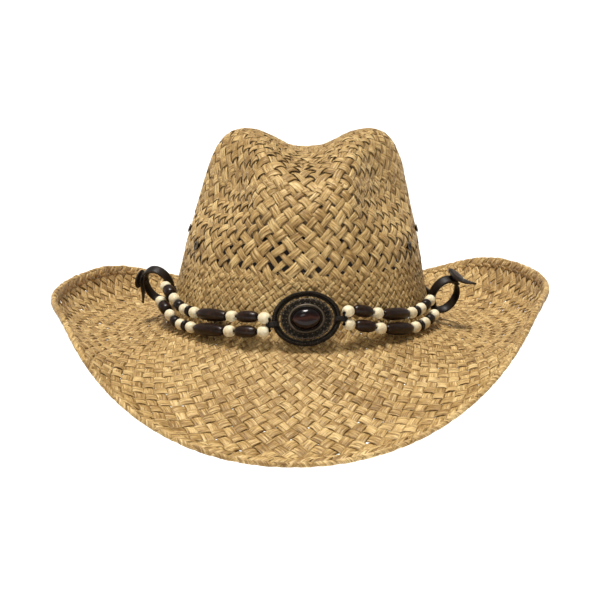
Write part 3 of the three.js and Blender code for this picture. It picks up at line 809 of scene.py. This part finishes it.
def woven_button(surface, shape):
    """The small square of plain weave at the crown's tip."""
    pitch, count = BUTTON_WEAVE["pitch"], BUTTON_WEAVE["strips"]
    reach = pitch * count / 2
    run = np.linspace(-reach, reach, count * 4 + 1)
    for lay in (1, -1):
        for k in range(count):
            middle = (k - (count - 1) / 2) * pitch
            side, across, height = strip_section(np.array(0.9 * pitch), 0.15, BUTTON_WEAVE["thickness"])
            a, b = np.broadcast_arrays(run[:, None], middle + side)
            x, y = (a, b) if lay > 0 else (b, a)
            swing = lay * (-1) ** k * 0.35 * np.cos(np.pi * (run / pitch - (count - 1) / 2))
            lift = swing[:, None] + height + BUTTON_WEAVE["lift"]
            points = surface.at(np.hypot(x, y), np.arctan2(y, x), lift)
            shape.grid(points, together(run[:, None] + 90 * k, across, random.random()), caps=True)


def make_weave(surface, paint):
    for name, *zone in ZONES:
        for lay, suffix in ((1, "a"), (-1, "b")):
            shape = Shape()
            woven(surface, shape, *zone, lay, name)
            if name == "weave_tip" and lay > 0:
                woven_button(surface, shape)
            piece(f"{name}_{suffix}", shape, paint, "hat", ["straw_body"], "strip")


def make_folded_edge(surface, paint):
    """Strip ends folded round the brim's wire, one set for each lay."""
    depth, radius, strips = EDGE["depth"], EDGE["radius"], EDGE["strips"]
    turn = np.linspace(0, np.pi, 9)[1:-1]
    flat = np.linspace(depth, EDGE["flat_end"], 7)
    inset = np.concatenate([flat, -0.75 * radius * np.sin(turn), flat[::-1]])
    rise = np.concatenate([0 * flat + radius, radius * np.cos(turn), 0 * flat - radius])
    travel = distances(np.stack([inset, rise], -1))
    travel -= travel[-1] / 2
    rise = rise - np.sign(rise) * 0.75 * ease(inset, depth - 2.2, depth)
    above = np.sign(rise)[:, None]
    turned = (1 - np.abs(rise) / radius)[:, None]
    for lay, suffix in ((1, "a"), (-1, "b")):
        shape = Shape()
        wave = 0.35 * lay * np.cos(2 * np.pi * travel / 7.5)[:, None]
        for k in range(strips):
            share = (k + 0.5 - 0.25 * lay + random.uniform(-0.06, 0.06)) / strips
            middle = 2 * np.pi * share
            ring = np.interp(surface.rim_at(np.array(middle)), surface.rows, surface.radius)
            width = 2 * np.pi * ring / strips * random.uniform(0.90, 1.04)
            side, across, height = strip_section(np.array(width), 0.35, 0.35)
            angle = middle + (lay * travel[:, None] + side) / ring
            out = EDGE["scallop"] * (1 - across**2) + random.uniform(-0.35, 0.35)
            lift = rise[:, None] + above * (height + wave)
            far = surface.rim_at(angle) - inset[:, None] + (out + height) * turned
            marks = together(travel[:, None] + 53 * k, across, random.random())
            shape.grid(surface.at(far, angle, lift), marks, caps=True)
        piece(f"folded_edge_{suffix}", shape, paint, "hat", ["edge_binding"], "strip")


# ---- Sweatband and eyelets ----

SWEATBAND = {"height": 30, "thickness": 1.1, "offset": -2.25}
STITCHES = {"count": 150, "margin": 2.2, "radius": 0.22}


def make_sweatband():
    angle = turns(360)
    half = SWEATBAND["height"] / 2
    girth = math.pi * (CROWN["half_width"] + CROWN["half_length"])
    section = strap_section(SWEATBAND["height"], SWEATBAND["thickness"] - 0.2, 0.3, 0)
    rings = []
    for across, out in section:
        pull = 0.25 * np.sin(angle * 9) * (across / half) ** 2
        rings.append(beside_wall(angle, half + across, SWEATBAND["offset"] + out + pull))
    shape = Shape()
    marks = together((angle / (2 * np.pi) * girth)[:, None], section[:, 0], 0.0)
    shape.grid(np.stack(rings, 1), marks, closed=True)
    piece("sweatband_cloth", shape, band_paint(), "hat", ["sweatband"], "strand")


def make_stitches():
    """A row of stitches near each edge of the sweatband, which starts at the crown's foot."""
    shape = Shape()
    count, margin = STITCHES["count"], STITCHES["margin"]
    inner = SWEATBAND["offset"] - SWEATBAND["thickness"] / 2
    bow = inner + 0.12 - 0.30 * np.sin(np.linspace(0, np.pi, 5))
    for height in (margin, SWEATBAND["height"] - margin):
        for k in range(count):
            angle = 2 * np.pi * (k + np.linspace(0.16, 0.84, 5)) / count
            tube(shape, beside_wall(angle, height, bow), STITCHES["radius"], sides=6)
    piece("sweatband_stitches", shape, thread_paint(), "hat")


def axis_of(points):
    """The axis, middle and half length of a turned solid, from its corners."""
    middle = (points.max(0) + points.min(0)) / 2
    spread, directions = np.linalg.eigh(np.cov((points - points.mean(0)).T))
    odd = 0 if spread[1] - spread[0] > spread[2] - spread[1] else 2
    axis = directions[:, odd]
    reach = (points - middle) @ axis
    middle = middle + axis * (reach.max() + reach.min()) / 2
    return axis, middle, (reach.max() - reach.min()) / 2


def corners(node):
    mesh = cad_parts[node].data
    points = np.empty(len(mesh.vertices) * 3, np.float32)
    mesh.vertices.foreach_get("co", points)
    return np.unique(np.round(points.reshape(-1, 3) / MM, 4), axis=0)


def aim(axis, at):
    turn = Vector((0, 0, 1)).rotation_difference(Vector(axis))
    return Matrix.Translation(Vector(at)) @ turn.to_matrix().to_4x4()


def nodes_named(start):
    return sorted(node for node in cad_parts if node.startswith(start))


def make_eyelets(bronze):
    for node in nodes_named("eyelet"):
        axis, middle, half = axis_of(corners(node))
        if axis @ middle < 0:
            axis = -axis
        bore, barrel, flange = 1.5, 2.1, 3.2
        half = half - 0.35
        face = half - 0.55
        profile = [
            (bore, -half + 0.2), (bore + 0.25, -half), (flange - 0.2, -half), (flange, -half + 0.25),
            (flange - 0.1, -face), (barrel, -face), (barrel, face), (flange - 0.1, face),
            (flange, half - 0.35), (flange - 0.25, half - 0.1), (flange - 0.8, half),
            (bore + 0.45, half - 0.1), (bore, half - 0.5), (bore, -half + 0.2),
        ]
        shape = Shape()
        shape.grid(lathe(profile, 28))
        shape.place(aim(axis, middle))
        piece(f"{node}_ring", shape, bronze, "hat", [node])


# ---- Beads and cords ----

def bead_profile(kind, half, radius):
    """The outline of each kind of bead, from its bore round its outside and back."""
    bore, inner, mouth = 1.0, half * 0.7, half * 0.97
    if kind == "round":
        power, root, end = 2.0, 2.0, 1.35
    elif kind in ("disc", "stub", "cask"):
        power, root, end = 3.2, 1.6, radius * 0.62
    else:
        power, root, end = 2.6, 1.5, radius * 0.48
    along = np.sin(np.linspace(-np.pi / 2, np.pi / 2, 21))
    swell = (1 - np.abs(along) ** power) ** (1 / root)
    outline = [(mix(end, radius, s), half * a) for s, a in zip(swell, along)]
    start = [(bore, -inner), (bore + 0.15, -mouth)]
    return [*start, *outline, (bore + 0.15, mouth), (bore, inner), (bore, -inner)]


def make_beads(bone, horn):
    sides = 32
    turn = np.linspace(0, 1, sides, endpoint=False)
    swirl = np.abs(turn * 2 - 1)
    for node in nodes_named(("bead_left", "bead_right")):
        axis, middle, half = axis_of(corners(node))
        off = corners(node) - middle
        radius = np.linalg.norm(off - np.outer(off @ axis, axis), axis=1).max()
        kind = node.rsplit("_", 1)[1]
        points = lathe(bead_profile(kind, half, radius * random.uniform(0.97, 1.0)), sides)
        wobble = 1 + 0.012 * np.sin(2 * np.pi * (turn * 2 + random.random()))
        points[..., :2] *= wobble[:, None]
        tint = random.random() * 9 + (10 if kind in ("barrel", "long", "cask") else 0)
        shape = Shape()
        shape.grid(points, together(points[..., 2], swirl, tint))
        shape.place(aim(axis, middle))
        paint, slot = (bone, "bone") if kind == "round" else (horn, "horn")
        piece(f"{node}_turned", shape, paint, "hatband", [node], "bead")


CONCHO = {
    "x": 4, "standoff": 7, "height": 8.5, "lean": 15, "roll": 5,
    "half_width": 21.3, "roundness": 0.80, "slot_to": 18.9,
}
CORD = {"radius": 0.55, "loop": 2.7, "loop_y": -2.0, "loop_height": 1.3, "tie": 3.9}
LOOP = {"half_width": 10.5, "half_height": 14, "width": 6.5, "axis": (0.4, -0.75, -0.5)}
LOOPS = {
    "left": {"side": -1, "at": (-95.2, -23, 14.8), "button": 0, "climb": 1.5, "ahead": 12},
    "right": {"side": 1, "at": (96.6, -29, 9.2), "button": 58, "climb": -1.5, "ahead": 14.5},
}


def concho_place():
    front = beside_wall(np.array(-np.pi / 2), CONCHO["height"], 0.0)[1]
    place = Matrix.Translation((CONCHO["x"], front - CONCHO["standoff"], CONCHO["height"]))
    turn = Matrix.Rotation(math.radians(90 - CONCHO["lean"]), 4, "X")
    return place @ turn @ Matrix.Rotation(math.radians(CONCHO["roll"]), 4, "Z")


def loop_frame(side):
    mirror = LOOPS[side]["side"]
    axis = unit(np.array(LOOP["axis"]) * (mirror, 1, 1))
    out = np.array([mirror, 0.0, 0.0])
    out = unit(out - axis * (out @ axis))
    up = np.array([0, 0, 1.0])
    up = up - axis * (up @ axis)
    return axis, out, unit(up - out * (up @ out))


def loop_point(side, turn, wider=0.0):
    """A point on a strap loop's middle line, and the direction straight out of the loop."""
    _, out, up = loop_frame(side)
    cosine = np.cos(turn)[..., None]
    sine = np.sin(turn)[..., None]
    wider = np.asarray(wider)[..., None]
    wide, tall = LOOP["half_width"], LOOP["half_height"]
    point = np.array(LOOPS[side]["at"]) + (wide + wider) * cosine * out + (tall + wider) * sine * up
    return point, unit(cosine / wide * out + sine / tall * up)


def bead_line(side, level):
    """The middles of a strand's beads with both their ends, from the concho outwards."""
    points = []
    outward = np.array([LOOPS[side]["side"], 0, 0])
    for node in nodes_named(f"bead_{side}_{level}_"):
        axis, middle, half = axis_of(corners(node))
        ahead = middle - points[-1] if points else outward
        if ahead @ axis < 0:
            axis = -axis
        points += [middle - axis * half * 0.95, middle, middle + axis * half * 0.95]
    return points


def tie_cord(shape, side, turn):
    """Two wraps round the strap's loop, and the knot that they end in."""
    axis, _, _ = loop_frame(side)
    point, radial = loop_point(side, turn)
    tangent = np.cross(radial, axis)
    wrap = turns(14)[:, None]
    for shift in (-0.55, 0.55):
        ring = point + tangent * shift + 4.1 * np.cos(wrap) * axis + 1.7 * np.sin(wrap) * radial
        tube(shape, smooth_line(ring, 28, closed=True), CORD["radius"], closed=True, up=tangent)
    ball(shape, point + axis * (CORD["tie"] + 0.4), 1.35)


def loop_cord(shape, mirror, reach, place):
    """Three turns of cord through a slot of the concho."""
    loop = CORD["loop"]
    turn = turns(16)
    for shift in (-0.9, 0.0, 0.9):
        local = together(
            mirror * reach + loop * np.cos(turn),
            CORD["loop_y"] + shift + 0.35 * np.sin(turn),
            CORD["loop_height"] + loop * 0.95 * np.sin(turn),
        )
        ring = smooth_line(local @ place[:3, :3].T + place[:3, 3], 36, closed=True)
        tube(shape, ring, 0.5, closed=True, up=place[:3, 1])


def make_cords(paint):
    place = np.array(concho_place())
    reach = (CONCHO["slot_to"] + CONCHO["half_width"]) / 2
    for side, loop in LOOPS.items():
        mirror = loop["side"]
        knot = np.array([mirror * (reach + CORD["loop"]), CORD["loop_y"], CORD["loop_height"]])
        knot = place[:3, :3] @ knot + place[:3, 3]
        shape = Shape()
        for level, lift, tied_at in (("upper", 0.8, -165), ("lower", -0.8, -125)):
            beads = bead_line(side, level)
            turn = math.radians(tied_at)
            inner = loop_point(side, turn)[0] + loop_frame(side)[0] * CORD["tie"]
            sag = mix(beads[-1], inner, 0.55) + (0, 0, lift)
            tube(shape, smooth_line([knot, *beads, sag, inner], 260), CORD["radius"])
            tie_cord(shape, side, turn)
            ball(shape, beads[0] - unit(beads[1] - beads[0]) * 0.5, 0.95)
        loop_cord(shape, mirror, reach + 0.15, place)
        for across, up in ((0, 1.1), (0.5, -1.0), (1.4, 0.1)):
            ball(shape, knot + place[:3, 0] * across * mirror + place[:3, 1] * up, 1.15)
        node = f"bead_cord_{side}"
        piece(f"{node}_strands", shape, paint, "hatband", [node], "strand")


# ---- Concho ----

# The concho is made lying flat, and its face looks along +Z.
FACE = (0, 0, 1)


def oval_line(half_width, roundness, count, height):
    turn = turns(count)
    return together(half_width * np.cos(turn), half_width * roundness * np.sin(turn), height)


def wire(shape, half_width, roundness, height, radius):
    tube(shape, oval_line(half_width, roundness, 120, height), radius, closed=True, up=FACE)


def rope(shape, half_width, height, thick, winds):
    """An oval rope of two strands."""
    line = oval_line(half_width, CONCHO["roundness"], 12 * winds, height)
    side, over = frames(line, True, FACE)
    for strand in (0, np.pi):
        wind = (turns(12 * winds) * winds + strand)[:, None]
        wound = line + 1.1 * thick * (side * np.cos(wind) + over * np.sin(wind))
        tube(shape, wound, thick, sides=7, closed=True, up=FACE)


def dish(shape):
    """The engraved middle: a shallow dish that rises to the bezel."""
    points = lathe([
        (15.9, 0.5), (16.1, 0.9), (15.9, 1.5), (15.3, 1.6), (15.0, 1.2), (12.1, 1.25), (11.7, 1.8),
        (11.0, 2.1), (10.2, 2.1), (9.9, 1.3), (9.7, 0.9), (9.7, 0.4), (15.9, 0.5),
    ], 120)
    radius = np.hypot(points[..., 0], points[..., 1])
    points[..., 1] *= mix(0.765, 0.795, ease(radius, 9.7, 15.9))
    shape.grid(points)


def bars(shape):
    """Fine bars bridge the open band, except where the cords loop through it."""
    count = 36
    for k in range(count):
        turn = 2 * np.pi * (k + 0.5) / count
        if abs(math.sin(turn) + 0.12) < 0.24:
            continue
        spoke = np.array([math.cos(turn), math.sin(turn)])
        aside = np.array([-spoke[1], spoke[0]]) * (0.64 if k % 2 else -0.64)
        ends = (spoke * 15.8, spoke * 16.9 + aside, spoke * 18.2)
        points = np.array([(x, y * CONCHO["roundness"], 1.05) for x, y in ends])
        tube(shape, smooth_line(points, 7), 0.27, sides=7, up=FACE)
        ball(shape, points[1], 0.46, rings=6)


def scrolls(shape):
    """Small scrolls and dots alternate round the engraved middle."""
    count = 26
    middles = oval_line(13.55, 0.785, count, 1.45)
    curl = np.linspace(0.2, 1.75 * np.pi, 12)
    size = 1 - 0.35 * curl / curl[-1]
    for k, turn in enumerate(turns(count)):
        way = curl + turn + (0 if k % 2 else np.pi)
        scroll = together(size * np.cos(way), size * np.sin(way), 0.0)
        tube(shape, middles[k] + scroll, 0.30, sides=6, up=FACE)
        spoke = turn + np.pi / count
        for reach, roundness, radius in ((14.7, 0.79, 0.44), (12.5, 0.78, 0.38)):
            at = (reach * math.cos(spoke), reach * roundness * math.sin(spoke), 1.45)
            ball(shape, at, radius, rings=6)


def bezel(shape):
    """A beaded wire with a plain lip inside it, over the plate that closes the middle."""
    for at in oval_line(10.55, 0.78, 84, 2.35):
        ball(shape, at, 0.40, rings=6)
    wire(shape, 9.55, 0.765, 2.55, 0.42)
    base = lathe([(0.0, 0.35), (9.9, 0.35), (9.9, 1.1), (0.0, 1.1)], 60)
    base[..., 1] *= 0.77
    shape.grid(base)


def make_concho(bronze):
    shape = Shape()
    rope(shape, 19.75, 1.5, 0.56, 40)
    rope(shape, 17.75, 1.3, 0.34, 56)
    wire(shape, 20.9, CONCHO["roundness"], 0.9, 0.38)
    wire(shape, 18.55, CONCHO["roundness"], 0.9, 0.34)
    dish(shape)
    bars(shape)
    scrolls(shape)
    bezel(shape)
    shape.place(concho_place())
    piece("concho_openwork", shape, bronze, "concho", ["concho_plate"])


def make_stone():
    half, roundness, foot, girdle, dome = 8.95, 0.75, 1.6, 1.9, 4.6
    turn = np.linspace(0, np.pi / 2, 18)[:-1]
    side = [(half * math.cos(t) ** 0.8, girdle + dome * math.sin(t)) for t in turn]
    points = lathe([(0, foot), (half, foot), *side, (0, girdle + dome)], 64)
    points[..., 1] *= roundness
    shape = Shape()
    shape.grid(points, together(points[..., 0] / half, points[..., 1] / (half * roundness), 0.0))
    shape.place(concho_place())
    piece("concho_cabochon", shape, stone_paint(), "concho", ["concho_stone"], "face")


# ---- Leather ----

STRAP = {"width": 7, "thickness": 1.6, "height": 3.5, "offset": 2}
STRAP_END = {"flare": 25, "reach": 3.6}
TAIL = {"length": 22, "width": 7, "thickness": 1.4}
BUTTON = {"radius": 6.5, "thickness": 1.8, "pin": 1, "gap": 0.35}


def button_frame(side):
    at, radial = loop_point(side, math.radians(LOOPS[side]["button"]))
    across, _, _ = loop_frame(side)
    along = unit(np.cross(radial, across))
    if along[2] > 0:
        along, across = -along, -across
    return at, radial, across, along


def run_strap(shape):
    """The strap round the back of the crown, which flares out to meet its loops."""
    count = 200
    ends = {"left": math.pi + math.radians(LOOPS["left"]["ahead"])}
    ends["right"] = -math.radians(LOOPS["right"]["ahead"])
    angle = np.linspace(ends["left"], ends["right"], count)
    height = np.full(count, float(STRAP["height"]))
    middle = np.full(count, STRAP["offset"] + STRAP["thickness"] / 2)
    for side, loop in LOOPS.items():
        near = 1 - ease(np.abs(angle - ends[side]), 0, math.radians(STRAP_END["flare"]))
        height += loop["climb"] * near
        middle += STRAP_END["reach"] * near
    points = beside_wall(angle, height, middle)
    across = unit(beside_wall(angle, height + 1.0, middle) - points)
    section = strap_section(STRAP["width"], STRAP["thickness"] - 0.15)
    strap(shape, points, -across, plan_normal(angle), section)


def coil_loop(shape, side):
    """The strap's end, coiled into a loop of nearly one and a half laps."""
    axis, _, _ = loop_frame(side)
    start, laps, count = math.radians(200), 1.45, 130
    turn = np.linspace(start, start - 2 * np.pi * laps, count)
    ring, radial = loop_point(side, turn, np.linspace(-1.5, 0.35, count))
    ring = ring + np.outer(np.linspace(-0.6, 0.6, count), axis)
    across = np.broadcast_to(axis, ring.shape)
    strap(shape, ring, across, radial, strap_section(LOOP["width"], 1.25))


def make_strap(leather):
    shape = Shape()
    run_strap(shape)
    for side in LOOPS:
        coil_loop(shape, side)
    piece("rear_strap_leather", shape, leather, "hatband", ["rear_strap"])


def make_tails(leather):
    half, length = TAIL["width"] / 2, TAIL["length"]
    base = STRAP["thickness"] / 2 + BUTTON["gap"] + TAIL["thickness"] / 2
    share = np.linspace(-1, 1, 40)
    run = np.where(share < 0, half * np.sin(share * np.pi / 2), length * share)
    head = np.sqrt(np.clip(1 - (np.minimum(run, 0) / half) ** 2, 0.02, 1))
    scale = head * (1 - 0.22 * ease(run, 0, 8) - 0.66 * ease(run, 7, length))
    curl = 0.9 * (np.maximum(run, 0) / length) ** 2
    sway = 0.5 * np.sin(run / 5.0)
    section = strap_section(TAIL["width"], TAIL["thickness"] - 0.25, 0.3, 0.1)
    for side in LOOPS:
        at, radial, across, along = button_frame(side)
        points = at + np.outer(run, along) + np.outer(base + curl, radial) + np.outer(sway, across)
        flat, out = np.broadcast_to(-across, points.shape), np.broadcast_to(radial, points.shape)
        shape = Shape()
        strap(shape, points, flat, out, section, scale)
        node = f"strap_tail_{side}"
        piece(f"{node}_leather", shape, leather, f"tail_{side}", [node])


def make_buttons(leather):
    radius, pin, gap = BUTTON["radius"], BUTTON["pin"], BUTTON["gap"]
    under = STRAP["thickness"] / 2 + gap
    over = under + TAIL["thickness"] + gap
    top = over + BUTTON["thickness"]
    inside = -under - 0.4
    profile = [
        (0, inside - 0.8), (2.0, inside - 0.8), (2.4, inside - 0.5), (2.3, inside), (pin, inside),
        (pin, over), (radius - 0.4, over), (radius, over + 0.35), (radius, over + 0.8),
        (radius - 0.45, top - 0.55), (radius - 0.9, top - 0.62), (radius - 1.25, top - 0.35),
        (radius * 0.5, top - 0.04), (0, top),
    ]
    for side in LOOPS:
        at, radial, _, _ = button_frame(side)
        shape = Shape()
        shape.grid(lathe(profile, 40))
        shape.place(aim(radial, at))
        node = f"strap_button_{side}"
        piece(f"{node}_cap", shape, leather, "hatband", [node])


def repaint(node, paint):
    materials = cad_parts[node].data.materials
    materials.clear()
    materials.append(paint)


# ---- Assembly ----

make_camera()
make_stage()
hat_surface = Surface()
straw = straw_paint()
bronze = bronze_paint()
leather = leather_paint()
make_weave(hat_surface, straw)
make_folded_edge(hat_surface, straw)
repaint("brim_wire", steel_paint())
make_sweatband()
make_stitches()
make_eyelets(bronze)
make_beads(bone_paint(), horn_paint())
make_cords(cord_paint())
make_concho(bronze)
make_stone()
make_strap(leather)
make_tails(leather)
make_buttons(leather)

boxes = {"cad": cad_box, "visual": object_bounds()}
boxes = {name: [[float(value) for value in corner] for corner in box] for name, box in boxes.items()}
